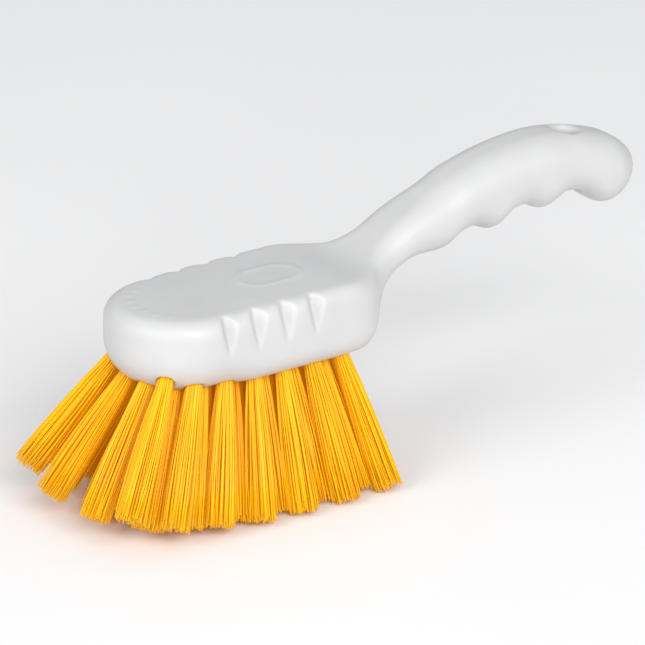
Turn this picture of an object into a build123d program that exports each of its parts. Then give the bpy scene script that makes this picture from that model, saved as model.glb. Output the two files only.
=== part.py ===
from build123d import *
import os
from math import copysign, cos, hypot, pi, radians, sin, sqrt

os.makedirs("parts", exist_ok=True)

# Hand scrub brush: an oval block with a cast-on arched grip, and straight bristle tufts
# stapled into blind holes in the underside of the block.
# Millimetres. X runs from the nose of the block to the end of the grip, Z is up.
# "x" and "z" below are measured from the nose tip and from the flat underside of the block.

# ---- placing in the shared frame ----
nose_x = -96.0          # nose tip, so that the whole brush is centred on the origin
trim_length = 45.5      # bristle tips to the flat underside of the block

# ---- block ----
block_width = 52.0
block_thickness = 27.0
nose_radius = block_width / 2
nose_top_round = 6.0
nose_bottom_round = 14.0
side_top_round = 4.5
side_bottom_round = 9.0
nose_blend_end = 42.0   # where the nose rounding has faded into the side rounding
block_straight_end = 78.0

# ---- grip ----
overall_length = 215.0
cap_length = 13.0       # rounded end of the grip
cap_centre_z = 36.5
grip_round = 10.8       # corner rounding of the grip section

# side view of the crown of the block and grip, and of the smooth underside (x, z)
crown_line = [(78, 27.0), (95, 27.4), (115, 38.0), (145, 50.2), (171, 54.4), (188, 53.0),
              (204, 48.6), (216, 45.0)]
belly_line = [(86, 0.0), (91, 1.0), (95, 5.5), (98, 10.5), (107, 18.2), (117, 22.6),
              (130, 22.2), (152, 25.2), (174, 27.8), (201, 24.0), (216, 27.0)]
# half width seen from above (x, y)
flank_line = [(78, 26.0), (85, 25.3), (91, 22.8), (98, 16.6), (105, 12.6), (112, 12.0),
              (140, 13.0), (200, 13.5), (216, 13.5)]
neck_end = 112.0        # where the block's corner rounding has become the grip's
# finger grooves under the grip: from ridge to ridge, with depth
finger_grooves = [(130.0, 152.0, 4.0), (152.0, 174.0, 3.6), (174.0, 201.0, 5.4)]

# ---- spacing of the sections the shoulder, grip and cap are drawn through ----
shoulder_sections, grip_sections = 8, 30
grip_start = 106.0      # the sections are closer together past here
cap_angles = (0, 16, 32, 47, 60, 71, 80, 87)

# ---- grip notches down both sides of the block ----
notch_count = 4
first_notch_x = 28.2
notch_pitch = 11.8
notch_width = 8.4
notch_depth = 5.2       # at the top edge
notch_run = 15.0        # height below the top edge where they have faded out
notch_valley_radius = 0.9

# ---- hanging hole ----
hang_hole_x = 188.0
hang_hole_radius = 4.5
hang_hole_top_z = 53.0  # crown of the grip over the hole
hang_hole_low_z = 32.6
hang_hole_slope = -0.19 # fall of the crown there, which the rim follows
top_rim_round = 3.0
low_rim_round = 1.5
hole_overshoot = 10.0   # length of the cutting shape beyond the moulding

# ---- raised marks moulded on the top of the block ----
mark_height = 0.4
mark_x = 62.0
mark_ring_length, mark_ring_width, mark_ring_line = 24.0, 15.0, 1.0
pip_count, pip_radius, pip_row_radius, pip_row_angle = 7, 0.8, 17.0, 120
mark_root = 0.5         # how far the marks reach down into the block

# ---- bristle tufts ----
tuft_radius = 3.0       # also the radius of its hole
tuft_tip_radius = 4.8
tuft_length = 48.5      # free length before trimming
tuft_neck = 2.0         # the tuft starts to spread this far outside its hole
hole_depth = 10.0
# tufts lean away from this line across the block, and outwards from its middle
fan_middle_x = 64.0
fan_reach_x = 95.0      # distance from that line at which a tuft leans by 45 degrees
nose_lean_x = 16.0      # tufts in front of here lean further forwards
nose_lean = 0.012       # by this much slope for every millimetre
side_lean = 0.40        # sideways lean of the outer rows, as a slope
side_lean_y = 12.0      # the lean has reached that slope this far from the middle
outer_row = [(8.0, 5.6), (9.0, 15.0), (18.4, 18.0)] + [(31.0 + 12.0 * i, 18.2) for i in range(5)]
second_row = [(15.2, 10.6)] + [(25.0 + 12.0 * i, 12.8) for i in range(5)]
third_row = [(22.0, 5.0)] + [(31.0 + 12.0 * i, 6.8) for i in range(5)]
centre_row = [(13.5, 0.0)] + [(37.0 + 12.0 * i, 0.0) for i in range(4)] + [(84.0, 0.0)]
one_side = outer_row + second_row + third_row
tuft_places = [(x, -y) for x, y in one_side] + one_side + centre_row

# ---- anchor staples ----
staple_wire = 0.5
staple_height = 2.0
staple_width = 8.0
staple_depth = 7.4      # outer edge of the staple, below the mouth of the hole


def through(line, x):
    """Height of a smooth curve that passes through the hand-placed points of line."""
    slopes = []
    for i in range(len(line)):
        a, b = line[max(i - 1, 0)], line[min(i + 1, len(line) - 1)]
        slopes.append((b[1] - a[1]) / (b[0] - a[0]))
    for i in range(len(line) - 1):
        (x0, y0), (x1, y1) = line[i], line[i + 1]
        if x <= x1 or i == len(line) - 2:
            d = x1 - x0
            t = (x - x0) / d
            return ((2 * t**3 - 3 * t**2 + 1) * y0 + (t**3 - 2 * t**2 + t) * d * slopes[i]
                    + (3 * t**2 - 2 * t**3) * y1 + (t**3 - t**2) * d * slopes[i + 1])


def ease(x, start, end):
    """Smooth step from 0 at start to 1 at end."""
    t = min(max((x - start) / (end - start), 0), 1)
    return t * t * (3 - 2 * t)


def section(x):
    """Half width, underside, crown and the two corner roundings of the moulding at x."""
    crown = through(crown_line, x) if x > block_straight_end else block_thickness
    belly = through(belly_line, x) if x > belly_line[0][0] else 0
    half = through(flank_line, x) if x > block_straight_end else block_width / 2
    for start, end, depth in finger_grooves:
        if start < x < end:
            wave = (1 + cos(2 * pi * (x - start) / (end - start))) / 2
            belly += depth * (1 - wave**1.5)
    nose = 1 - ease(x, nose_radius, nose_blend_end)
    neck = ease(x, block_straight_end, neck_end)
    top = side_top_round + nose * (nose_top_round - side_top_round)
    low = side_bottom_round + nose * (nose_bottom_round - side_bottom_round)
    top += neck * (grip_round - top)
    low += neck * (grip_round - low)
    cap_start = overall_length - cap_length
    if x > cap_start:
        shrink = sqrt(1 - ((x - cap_start) / cap_length)**2)
        crown = cap_centre_z + (crown - cap_centre_z) * shrink
        belly = cap_centre_z + (belly - cap_centre_z) * shrink
        half, top, low = half * shrink, top * shrink, low * shrink
    room = min(1, 0.96 * (crown - belly) / (top + low), 0.96 * half / max(top, low))
    return half, belly, crown, top * room, low * room


def station(x):
    return Plane(origin=(nose_x + x, 0, trim_length), x_dir=(0, 1, 0), z_dir=(1, 0, 0))


def outline(half, belly, crown, top, low):
    """Closed section outline with four rounded corners, drawn anticlockwise."""
    d = 1 - sqrt(0.5)
    Line((-half + low, belly), (half - low, belly))
    ThreePointArc((half - low, belly), (half - low * d, belly + low * d), (half, belly + low))
    Line((half, belly + low), (half, crown - top))
    ThreePointArc((half, crown - top), (half - top * d, crown - top * d), (half - top, crown))
    Line((half - top, crown), (-half + top, crown))
    ThreePointArc((-half + top, crown), (-half + top * d, crown - top * d), (-half, crown - top))
    Line((-half, crown - top), (-half, belly + low))
    ThreePointArc((-half, belly + low), (-half + low * d, belly + low * d), (-half + low, belly))


def underside(x, y):
    """Height of the rounded underside of the block over (x, y)."""
    if x < nose_radius:
        reach, rounding = hypot(x - nose_radius, y), nose_bottom_round
    else:
        reach, rounding = abs(y), section(x)[4]
    over = max(reach - (block_width / 2 - rounding), 0)
    return rounding - sqrt(rounding**2 - over**2)


def tuft_plane(x, y):
    """Plane at the mouth of a tuft hole, facing out along the tuft."""
    lean_x = (x - fan_middle_x) / fan_reach_x - nose_lean * max(nose_lean_x - x, 0)
    lean_y = copysign(side_lean * min(abs(y) / side_lean_y, 1), y)
    return Plane(origin=(nose_x + x, y, trim_length + underside(x, y)),
                 x_dir=(1, 0, lean_x), z_dir=(lean_x, lean_y, -1))


def block_plane(x, z):
    """Horizontal plane facing up at height z of the moulding."""
    return Plane(origin=(nose_x + x, 0, trim_length + z))


with BuildPart() as handle_block:
    # nose: half section turned about the vertical axis through the nose centre
    with BuildSketch(station(nose_radius)):
        with BuildLine():
            outline(*section(nose_radius))
        make_face()
        with Locations((block_width / 2, block_thickness / 2)):
            Rectangle(block_width, block_thickness * 2, mode=Mode.SUBTRACT)
    revolve(axis=Axis((nose_x + nose_radius, 0, 0), (0, 0, 1)), revolution_arc=-180)
    # sides where the nose rounding fades out
    for i in range(5):
        x = nose_radius + i * (nose_blend_end - nose_radius) / 4
        with BuildSketch(station(x)):
            with BuildLine():
                outline(*section(x))
            make_face()
    loft()
    # straight sides
    with BuildSketch(station(nose_blend_end)):
        with BuildLine():
            outline(*section(nose_blend_end))
        make_face()
    extrude(amount=block_straight_end - nose_blend_end)
    # shoulder, neck and grip
    cap_start = overall_length - cap_length
    shoulder_step = (grip_start - block_straight_end) / shoulder_sections
    grip_step = (cap_start - grip_start) / grip_sections
    stations = [block_straight_end + shoulder_step * i for i in range(shoulder_sections)]
    stations += [grip_start + grip_step * i for i in range(grip_sections)]
    stations += [cap_start + cap_length * sin(radians(angle)) for angle in cap_angles]
    for x in stations:
        with BuildSketch(station(x)):
            with BuildLine():
                outline(*section(x))
            make_face()
    loft()

    # notches, leaning out so that they fade down the side
    fade = notch_depth / notch_run
    half, clear = notch_width / 2, notch_depth
    for side in (-1, 1):
        for i in range(notch_count):
            x = nose_x + first_notch_x + i * notch_pitch
            top_edge = Plane(origin=(x, side * block_width / 2, trim_length + block_thickness),
                             x_dir=(-side, 0, 0), z_dir=(0, side * fade, -1))
            with BuildSketch(top_edge.offset(-1)):
                with BuildLine():
                    Polyline((half, 0), (0, -notch_depth), (-half, 0), (-half, clear),
                             (half, clear), close=True)
                make_face()
                fillet(vertices().sort_by(Axis.Y)[0], notch_valley_radius)
            extrude(amount=notch_run + 2, mode=Mode.SUBTRACT)
    # hanging hole with a small rounded rim below
    hole_x, top, d = nose_x + hang_hole_x, hang_hole_top_z, 1 - sqrt(0.5)
    hole_side = Plane(origin=(hole_x, 0, trim_length), x_dir=(1, 0, 0), z_dir=(0, -1, 0))
    with BuildSketch(hole_side):
        with BuildLine():
            r, low, bevel, over = hang_hole_radius, hang_hole_low_z, low_rim_round, hole_overshoot
            Polyline((0, low - over), (r + bevel, low - over), (r + bevel, low))
            ThreePointArc((r + bevel, low), (r + bevel * d, low + bevel * d), (r, low + bevel))
            Polyline((r, low + bevel), (r, top + over), (0, top + over), (0, low - over))
        make_face()
    revolve(axis=Axis((hole_x, 0, 0), (0, 0, 1)), mode=Mode.SUBTRACT)
    # wide rounded rim on top, square to the crown
    rim_side = Plane(origin=(hole_x, 0, trim_length + hang_hole_top_z),
                     x_dir=(1, 0, hang_hole_slope), z_dir=(0, -1, 0))
    with BuildSketch(rim_side):
        with BuildLine():
            r, rim = hang_hole_radius - 0.2, top_rim_round
            ThreePointArc((r, -rim), (r + rim * d, -rim * d), (r + rim, 0))
            Polyline((r + rim, 0), (r + rim, over), (0, over), (0, -rim), (r, -rim))
        make_face()
    revolve(axis=Axis(rim_side.origin, rim_side.y_dir), mode=Mode.SUBTRACT)
    # blind tuft holes, each with a slot for the ends of its staple
    for x, y in tuft_places:
        mouth = tuft_plane(x, y)
        with Locations(mouth.offset(-hole_depth)):
            Cylinder(tuft_radius, hole_depth + 2 * tuft_radius, mode=Mode.SUBTRACT,
                     align=(Align.CENTER, Align.CENTER, Align.MIN))
        with Locations(mouth.offset(-staple_depth)):
            Box(staple_width, staple_wire, staple_height, mode=Mode.SUBTRACT,
                align=(Align.CENTER, Align.CENTER, Align.MAX))
    # raised marks: a plain oval ring and a row of pips round the nose
    with BuildSketch(block_plane(mark_x, block_thickness - mark_root)):
        SlotOverall(mark_ring_length, mark_ring_width)
        SlotOverall(mark_ring_length - 2 * mark_ring_line, mark_ring_width - 2 * mark_ring_line,
                    mode=Mode.SUBTRACT)
    extrude(amount=mark_root + mark_height)
    with BuildSketch(block_plane(nose_radius, block_thickness - mark_root)):
        with PolarLocations(pip_row_radius, pip_count, start_angle=180 - pip_row_angle / 2,
                            angular_range=pip_row_angle):
            Circle(pip_radius)
    extrude(amount=mark_root + mark_height)

handle_block.part.label = "handle_block"
export_step(handle_block.part, "parts/handle_block.step")

for number, (x, y) in enumerate(tuft_places, start=1):
    mouth = tuft_plane(x, y)
    with BuildPart() as tuft:
        # part packed in the hole, then the part that spreads to the tips
        with Locations(mouth.offset(-hole_depth)):
            Cylinder(tuft_radius, hole_depth + tuft_neck,
                     align=(Align.CENTER, Align.CENTER, Align.MIN))
        with Locations(mouth.offset(tuft_neck)):
            Cone(tuft_radius, tuft_tip_radius, tuft_length - tuft_neck,
                 align=(Align.CENTER, Align.CENTER, Align.MIN))
        # the filaments fold over the staple
        with Locations(mouth.offset(-staple_depth)):
            Box(staple_width, staple_wire, staple_height, mode=Mode.SUBTRACT,
                align=(Align.CENTER, Align.CENTER, Align.MAX))
        # tips trimmed level
        split(bisect_by=Plane.XY, keep=Keep.TOP)
    tuft.part.label = f"tuft_{number:02d}"
    export_step(tuft.part, f"parts/tuft_{number:02d}.step")

with BuildPart() as anchor_staples:
    for x, y in tuft_places:
        with Locations(tuft_plane(x, y).offset(-staple_depth)):
            Box(staple_width, staple_wire, staple_height,
                align=(Align.CENTER, Align.CENTER, Align.MAX))
anchor_staples.part.label = "anchor_staples"
export_step(anchor_staples.part, "parts/anchor_staples.step")
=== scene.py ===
import math
import random

import bmesh
import bpy
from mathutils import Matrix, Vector


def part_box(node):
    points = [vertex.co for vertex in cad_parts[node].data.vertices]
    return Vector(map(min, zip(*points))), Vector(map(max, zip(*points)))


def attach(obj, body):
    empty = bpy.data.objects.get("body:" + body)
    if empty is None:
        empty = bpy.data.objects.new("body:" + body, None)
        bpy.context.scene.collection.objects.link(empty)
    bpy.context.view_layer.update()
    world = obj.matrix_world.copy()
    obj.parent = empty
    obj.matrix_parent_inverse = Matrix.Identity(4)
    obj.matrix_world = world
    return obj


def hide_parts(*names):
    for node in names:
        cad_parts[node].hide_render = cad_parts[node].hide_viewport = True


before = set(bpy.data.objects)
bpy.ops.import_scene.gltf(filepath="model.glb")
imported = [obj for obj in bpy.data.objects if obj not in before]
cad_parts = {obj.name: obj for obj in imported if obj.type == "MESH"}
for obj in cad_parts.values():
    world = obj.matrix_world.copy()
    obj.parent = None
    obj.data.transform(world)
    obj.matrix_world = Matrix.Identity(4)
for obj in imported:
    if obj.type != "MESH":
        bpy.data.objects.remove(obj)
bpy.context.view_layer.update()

# Hand scrub brush: white foamed-plastic block and grip, yellow synthetic bristle tufts.
# Metres, in the row frame: +X towards the end of the grip, +Z up from the bristle tips.

MM = 0.001

# ---- camera: long lens, looking down over the nose and the near side of the block ----
CAMERA_AZIMUTH = -36.14
CAMERA_ELEVATION = 21.59
CAMERA_DISTANCE = 2.385
CAMERA_LENS = 394.8
CAMERA_SENSOR = 36.0
CAMERA_CLIP = (0.1, 20)
AIM_FROM_NOSE = 57.24 * MM          # middle of the block, from its nose and underside
AIM_FROM_UNDERSIDE = 19.08 * MM
AIM_SIDE_STEP = 22.25 * MM          # then this far right and down, to centre the whole brush
AIM_DROP = 7.55 * MM

# ---- plan of the tuft holes and of the fan: millimetres from the nose tip and centre line ----
HOLE_PITCH = 12.0
FAN_MIDDLE_X = 64.0                 # tufts here lean neither forwards nor backwards
FAN_REACH_X = 95.0                  # distance from there at which they would lean by 1 in 1
NOSE_LEAN_X = 16.0                  # in front of here they lean further forwards
NOSE_LEAN = 0.012                   # by this much for each millimetre
SIDE_LEAN = 0.40                    # full sideways lean, reached this far from the centre line
SIDE_LEAN_Y = 12.0

# ---- tuft: radii run to the middle of the outermost filaments ----
TUFT_RADIUS = 2.72 * MM             # at the hole
TUFT_TIP_RADIUS = 5.5 * MM
TUFT_LENGTH = 48.5 * MM
TUFT_SUNK = 4.0 * MM                # filaments start this far inside the hole
HOLE_DEPTH = 10.0 * MM
END_RING = 0.05 * MM                # points this close to the buried end belong to it
FULLNESS = 0.9                      # how much sooner the tuft widens than a plain cone

# ---- filament ----
FILAMENTS_PER_TUFT = 130
FILAMENT_RADIUS = 0.29 * MM
FILAMENT_TAPER = 0.12               # share of the radius lost by the tip
FILAMENT_SIDES = 5
FILAMENT_SPANS = 5
GOLDEN_ANGLE = math.pi * (3 - math.sqrt(5))
SPOT_INSET = 0.93                   # unevenness of the packing: radius and turn
SPOT_TURN = 0.1
SPREAD = (0.75, 1.2)                # share of the tuft's widening that one filament takes
SWING = 0.45 * MM                   # sideways scatter of the tips
BOW = 0.35 * MM                     # bend between the ends
RAGGED = 1.3 * MM                   # scatter of the trimmed length
EXTRA_LENGTH = 0.4 * MM
FLOOR_RAGGED = 0.8                  # share of that scatter left where the floor trims the tips
STRAY_SHARE = 0.12
STRAY_SWING = 1.5 * MM
STRAY_RAGGED = 1.6
SEED = 7

# ---- moulding ----
REMESH_VOXEL = 0.55 * MM
SMOOTH_FACTOR = 0.5
SMOOTH_STEPS = 24

# ---- stage ----
FLOOR_HALF_SIDE = 6.0
FLOOR_CELLS = 8
SKY_COLOUR = (0.97, 0.98, 1.0, 1)
SKY_STRENGTH = 0.52
SOFTBOX_ELEVATION = 32
SOFTBOX_DISTANCE = 2.6
SOFTBOX_TARGET = Vector((0, 0, 0.05))


def direction(azimuth, elevation):
    a, e = math.radians(azimuth), math.radians(elevation)
    return Vector((math.sin(a) * math.cos(e), -math.cos(a) * math.cos(e), math.sin(e)))


# ------------------------------------------------------------------ camera

def make_camera():
    back = direction(CAMERA_AZIMUTH, CAMERA_ELEVATION)
    right = Vector((0, 0, 1)).cross(back).normalized()
    up = back.cross(right)
    block_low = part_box("handle_block")[0]
    middle = Vector((block_low[0] + AIM_FROM_NOSE, 0, block_low[2] + AIM_FROM_UNDERSIDE))
    aim = middle + right * AIM_SIDE_STEP - up * AIM_DROP
    data = bpy.data.cameras.new("camera")
    data.lens = CAMERA_LENS
    data.sensor_width = CAMERA_SENSOR
    data.clip_start, data.clip_end = CAMERA_CLIP
    camera = bpy.data.objects.new("camera", data)
    camera.location = aim + back * CAMERA_DISTANCE
    camera.rotation_mode = "QUATERNION"
    camera.rotation_quaternion = (-back).to_track_quat("-Z", "Y")
    bpy.context.collection.objects.link(camera)
    bpy.context.scene.camera = camera


# ------------------------------------------------------------------ materials

def new_material(name):
    material = bpy.data.materials.get(name) or bpy.data.materials.new(name)
    material.use_nodes = True
    tree = material.node_tree
    tree.nodes.clear()
    output = tree.nodes.new("ShaderNodeOutputMaterial")
    shader = tree.nodes.new("ShaderNodeBsdfPrincipled")
    tree.links.new(shader.outputs["BSDF"], output.inputs["Surface"])
    return material, tree, shader


def node(tree, kind, **values):
    """A new node, with each value set on the input of that name or else as a property."""
    made = tree.nodes.new(kind)
    for key, value in values.items():
        if key in made.inputs:
            made.inputs[key].default_value = value
        else:
            setattr(made, key, value)
    return made


def ramp(tree, source, stops):
    made = tree.nodes.new("ShaderNodeValToRGB")
    elements = made.color_ramp.elements
    elements[0].position, elements[0].color = stops[0]
    elements[1].position, elements[1].color = stops[-1]
    for position, colour in stops[1:-1]:
        elements.new(position).color = colour
    tree.links.new(source, made.inputs["Fac"])
    return made.outputs["Color"]


def grey(v):
    return (v, v, v, 1)


def make_handle_material(name):
    """White foamed plastic: satin, with faint flow clouding and a fine pebbled skin."""
    material, tree, shader = new_material(name)
    place = node(tree, "ShaderNodeTexCoord").outputs["Object"]
    clouds = node(tree, "ShaderNodeTexNoise", Scale=38.0, Detail=4.0, Roughness=0.55)
    skin = node(tree, "ShaderNodeTexNoise", Scale=900.0, Detail=3.0, Roughness=0.6)
    cells = node(tree, "ShaderNodeTexVoronoi", Scale=620.0)
    for texture in (clouds, skin, cells):
        tree.links.new(place, texture.inputs["Vector"])
    colour = ramp(tree, clouds.outputs["Fac"],
                  [(0.30, (0.548, 0.549, 0.550, 1)), (0.52, (0.570, 0.570, 0.570, 1)),
                   (0.72, (0.590, 0.590, 0.588, 1))])
    tree.links.new(colour, shader.inputs["Base Color"])
    rough = ramp(tree, skin.outputs["Fac"], [(0.25, grey(0.36)), (0.75, grey(0.50))])
    tree.links.new(rough, shader.inputs["Roughness"])
    fine = node(tree, "ShaderNodeBump", Strength=0.10, Distance=0.00012)
    tree.links.new(skin.outputs["Fac"], fine.inputs["Height"])
    pits = node(tree, "ShaderNodeBump", Strength=0.05, Distance=0.00015)
    tree.links.new(cells.outputs["Distance"], pits.inputs["Height"])
    tree.links.new(fine.outputs["Normal"], pits.inputs["Normal"])
    tree.links.new(pits.outputs["Normal"], shader.inputs["Normal"])
    shader.inputs["Subsurface Weight"].default_value = 0.12
    shader.inputs["Subsurface Radius"].default_value = (0.0030, 0.0028, 0.0026)
    shader.inputs["Specular IOR Level"].default_value = 0.42
    return material


def make_bristle_material(name):
    """Golden filament, each one a little different. A small orange glow is painted light: it stands
    in for the light bounced between and passed through the filaments, brightening the shade in the
    gaps.
    """
    material, tree, shader = new_material(name)
    tone = node(tree, "ShaderNodeVertexColor", layer_name="tone")
    place = node(tree, "ShaderNodeTexCoord").outputs["Object"]
    streaks = node(tree, "ShaderNodeTexNoise", Scale=420.0, Detail=2.0)
    tree.links.new(place, streaks.inputs["Vector"])
    channels = node(tree, "ShaderNodeSeparateColor")
    tree.links.new(tone.outputs["Color"], channels.inputs["Color"])
    shade = node(tree, "ShaderNodeMath", operation="MULTIPLY_ADD")
    shade.inputs[1].default_value = 0.25
    tree.links.new(streaks.outputs["Fac"], shade.inputs[0])
    tree.links.new(channels.outputs["Red"], shade.inputs[2])
    colour = ramp(tree, shade.outputs["Value"],
                  [(0.10, (0.850, 0.350, 0.0020, 1)), (0.55, (0.880, 0.460, 0.0030, 1)),
                   (1.00, (0.900, 0.530, 0.0080, 1))])
    tree.links.new(colour, shader.inputs["Base Color"])
    rough = ramp(tree, streaks.outputs["Fac"], [(0.3, grey(0.26)), (0.7, grey(0.38))])
    tree.links.new(rough, shader.inputs["Roughness"])
    shader.inputs["Specular IOR Level"].default_value = 0.25
    # painted light: the filaments glow faintly orange to fill the shade between them, though they are
    # no lamp
    shader.inputs["Emission Color"].default_value = (1.0, 0.42, 0.0, 1)
    shader.inputs["Emission Strength"].default_value = 0.08
    return material


def make_staple_material(name):
    """Drawn wire, with a fine unevenness in its colour and polish."""
    material, tree, shader = new_material(name)
    place = node(tree, "ShaderNodeTexCoord").outputs["Object"]
    lines = node(tree, "ShaderNodeTexNoise", Scale=1500.0, Detail=2.0)
    tree.links.new(place, lines.inputs["Vector"])
    colour = ramp(tree, lines.outputs["Fac"],
                  [(0.3, (0.55, 0.54, 0.51, 1)), (0.7, (0.68, 0.67, 0.64, 1))])
    tree.links.new(colour, shader.inputs["Base Color"])
    rough = ramp(tree, lines.outputs["Fac"], [(0.3, grey(0.25)), (0.7, grey(0.42))])
    tree.links.new(rough, shader.inputs["Roughness"])
    shader.inputs["Metallic"].default_value = 1.0
    return material


def make_floor_material(name):
    """Pale matt floor with a faint mottle."""
    material, tree, shader = new_material(name)
    place = node(tree, "ShaderNodeTexCoord").outputs["Object"]
    mottle = node(tree, "ShaderNodeTexNoise", Scale=6.0, Detail=5.0)
    tree.links.new(place, mottle.inputs["Vector"])
    colour = ramp(tree, mottle.outputs["Fac"], [(0.3, grey(0.87)), (0.7, grey(0.89))])
    tree.links.new(colour, shader.inputs["Base Color"])
    shader.inputs["Roughness"].default_value = 0.7
    shader.inputs["Specular IOR Level"].default_value = 0.1
    return material


# ------------------------------------------------------------------ moulding

def make_moulding(material):
    """The block and grip with every edge softened, as a thick moulding has them."""
    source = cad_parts["handle_block"]
    moulding = bpy.data.objects.new("moulding", source.data.copy())
    bpy.context.collection.objects.link(moulding)
    remesh = moulding.modifiers.new("remesh", "REMESH")
    remesh.mode = "VOXEL"
    remesh.voxel_size = REMESH_VOXEL
    soften = moulding.modifiers.new("soften", "SMOOTH")
    soften.factor = SMOOTH_FACTOR
    soften.iterations = SMOOTH_STEPS
    depsgraph = bpy.context.evaluated_depsgraph_get()
    shaped = bpy.data.meshes.new_from_object(moulding.evaluated_get(depsgraph))
    moulding.modifiers.clear()
    moulding.data = shaped
    shaped.name = "moulding"
    shaped.materials.clear()
    shaped.materials.append(material)
    shaped.polygons.foreach_set("use_smooth", [True] * len(shaped.polygons))
    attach(moulding, "root")
    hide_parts("handle_block")


# ------------------------------------------------------------------ bristles

def hole_run(first_x, y, count):
    return [(first_x + HOLE_PITCH * i, y) for i in range(count)]


def tuft_places():
    """Where the tufts stand in plan, from the nose tip, in the order of the CAD nodes."""
    outer = [(8.0, 5.6), (9.0, 15.0), (18.4, 18.0)] + hole_run(31.0, 18.2, 5)
    second = [(15.2, 10.6)] + hole_run(25.0, 12.8, 5)
    third = [(22.0, 5.0)] + hole_run(31.0, 6.8, 5)
    centre = [(13.5, 0.0)] + hole_run(37.0, 0.0, 4) + [(84.0, 0.0)]
    side = outer + second + third
    return [(x, -y) for x, y in side] + side + centre


def tuft_frame(name, x, y):
    """Middle of the tuft's hole mouth, from its CAD solid, and the way the tuft points."""
    lean_y = math.copysign(SIDE_LEAN * min(abs(y) / SIDE_LEAN_Y, 1), y)
    lean_x = (x - FAN_MIDDLE_X) / FAN_REACH_X - NOSE_LEAN * max(NOSE_LEAN_X - x, 0)
    along = Vector((lean_x, lean_y, -1)).normalized()
    points = [v.co.copy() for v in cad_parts[name].data.vertices]
    deepest = min(p.dot(along) for p in points)
    end_ring = [p for p in points if p.dot(along) - deepest < END_RING]
    return sum(end_ring, Vector()) / len(end_ring) + along * HOLE_DEPTH, along


def filament_line(rng, mouth, along, across, up, radius, turn):
    """Middle line of one filament, from inside the hole to its trimmed tip."""
    outward = across * math.cos(turn) + up * math.sin(turn)
    side = across * -math.sin(turn) + up * math.cos(turn)
    stray = rng.random() < STRAY_SHARE
    spread = radius * (TUFT_TIP_RADIUS - TUFT_RADIUS) * rng.uniform(*SPREAD)
    swing = rng.gauss(0, STRAY_SWING if stray else SWING)
    bow = rng.gauss(0, BOW)
    ragged = abs(rng.gauss(0, RAGGED)) * (STRAY_RAGGED if stray else 1.0)
    full_length = TUFT_LENGTH - ragged + rng.uniform(0, EXTRA_LENGTH)

    heading = (along * TUFT_LENGTH + outward * spread + side * swing).normalized()
    start = mouth + outward * radius * TUFT_RADIUS
    floor_length = start.z / -heading.z - ragged * FLOOR_RAGGED - FILAMENT_RADIUS
    length = min(full_length, floor_length)
    line = [start - along * TUFT_SUNK]
    for k in range(FILAMENT_SPANS):
        t = k / (FILAMENT_SPANS - 1)
        line.append(start + heading * length * t + side * bow * 4 * t * (1 - t)
                    + outward * spread * FULLNESS * t * (1 - t))
    return line


def filament_skin(line, across, up, lean, first):
    """Points and faces of a tapered rod round a middle line; its points are numbered from first."""
    points, faces = [], []
    for k, middle in enumerate(line):
        radius = FILAMENT_RADIUS * (1 - FILAMENT_TAPER * k / len(line))
        for s in range(FILAMENT_SIDES):
            angle = lean + math.tau * s / FILAMENT_SIDES
            points.append(middle + (across * math.cos(angle) + up * math.sin(angle)) * radius)
    last = first + (len(line) - 1) * FILAMENT_SIDES
    for ring in range(first, last, FILAMENT_SIDES):
        for s in range(FILAMENT_SIDES):
            a = ring + s
            b = ring + (s + 1) % FILAMENT_SIDES
            faces.append((a, b, b + FILAMENT_SIDES, a + FILAMENT_SIDES))
    faces.append([first + s for s in reversed(range(FILAMENT_SIDES))])
    faces.append([last + s for s in range(FILAMENT_SIDES)])
    return points, faces


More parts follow.
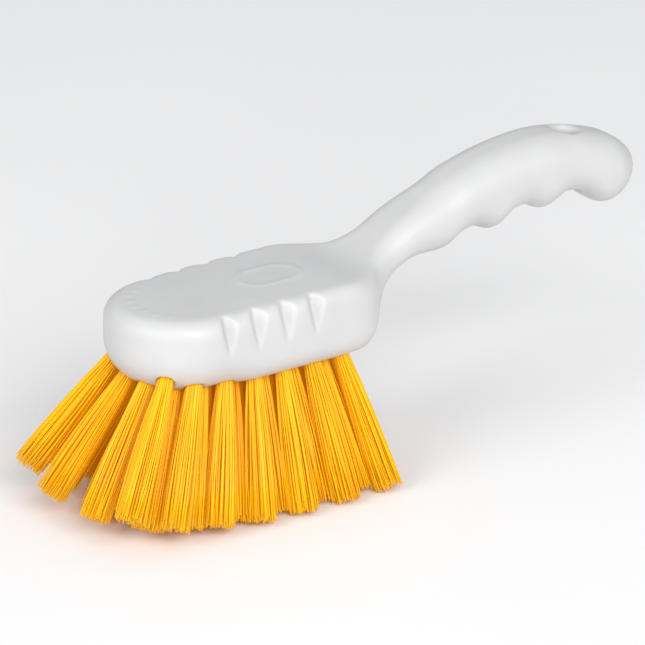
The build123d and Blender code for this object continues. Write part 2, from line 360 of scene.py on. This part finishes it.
def make_tuft(name, x, y, material, rng):
    mouth, along = tuft_frame(name, x, y)
    across = Vector((0, 1, 0)).cross(along).normalized()
    up = along.cross(across)
    verts, faces, tones = [], [], []
    first_turn = rng.uniform(0, math.tau)
    for i in range(FILAMENTS_PER_TUFT):
        radius = math.sqrt((i + 0.5) / FILAMENTS_PER_TUFT) * rng.uniform(SPOT_INSET, 1.0)
        turn = first_turn + i * GOLDEN_ANGLE + rng.uniform(-SPOT_TURN, SPOT_TURN)
        line = filament_line(rng, mouth, along, across, up, radius, turn)
        tone = rng.random()
        lean = rng.uniform(0, math.tau)
        points, sides = filament_skin(line, across, up, lean, len(verts))
        verts += points
        faces += sides
        tones += [tone] * len(points)
    mesh = bpy.data.meshes.new(name + "_filaments")
    mesh.from_pydata(verts, [], faces)
    colours = mesh.color_attributes.new("tone", "FLOAT_COLOR", "POINT")
    colours.data.foreach_set("color", [c for t in tones for c in grey(t)])
    mesh.polygons.foreach_set("use_smooth", [len(f) == 4 for f in faces])
    mesh.materials.append(material)
    tuft = bpy.data.objects.new(name + "_filaments", mesh)
    bpy.context.collection.objects.link(tuft)
    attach(tuft, "root")
    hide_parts(name)


# ------------------------------------------------------------------ stage

def make_floor(material):
    mesh = bpy.data.meshes.new("floor")
    shape = bmesh.new()
    bmesh.ops.create_grid(shape, x_segments=FLOOR_CELLS, y_segments=FLOOR_CELLS,
                          size=FLOOR_HALF_SIDE)
    shape.to_mesh(mesh)
    shape.free()
    mesh.materials.append(material)
    floor = bpy.data.objects.new("floor", mesh)
    bpy.context.collection.objects.link(floor)


def add_softbox(name, azimuth, width, height, power):
    data = bpy.data.lights.new(name, "AREA")
    data.shape = "RECTANGLE"
    data.size = width
    data.size_y = height
    data.energy = power
    light = bpy.data.objects.new(name, data)
    towards = direction(azimuth, SOFTBOX_ELEVATION)
    light.location = SOFTBOX_TARGET + towards * SOFTBOX_DISTANCE
    light.rotation_mode = "QUATERNION"
    light.rotation_quaternion = towards.to_track_quat("Z", "Y")
    bpy.context.collection.objects.link(light)


def make_light():
    world = bpy.data.worlds.new("studio")
    world.use_nodes = True
    background = world.node_tree.nodes["Background"]
    background.inputs["Color"].default_value = SKY_COLOUR
    background.inputs["Strength"].default_value = SKY_STRENGTH
    bpy.context.scene.world = world
    add_softbox("near_side", azimuth=-15, width=2.2, height=1.4, power=55.0)
    add_softbox("nose_side", azimuth=-80, width=1.6, height=1.2, power=26.0)
    bpy.context.scene.view_settings.view_transform = "Standard"


make_camera()
make_light()
make_floor(make_floor_material("floor_white"))
make_moulding(make_handle_material("handle_plastic_satin"))
bristle = make_bristle_material("bristle_filament")
rng = random.Random(SEED)
for number, (x, y) in enumerate(tuft_places(), start=1):
    make_tuft(f"tuft_{number:02d}", x, y, bristle, rng)
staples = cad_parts["anchor_staples"]
staples.data.materials[0] = make_staple_material("staple_wire")
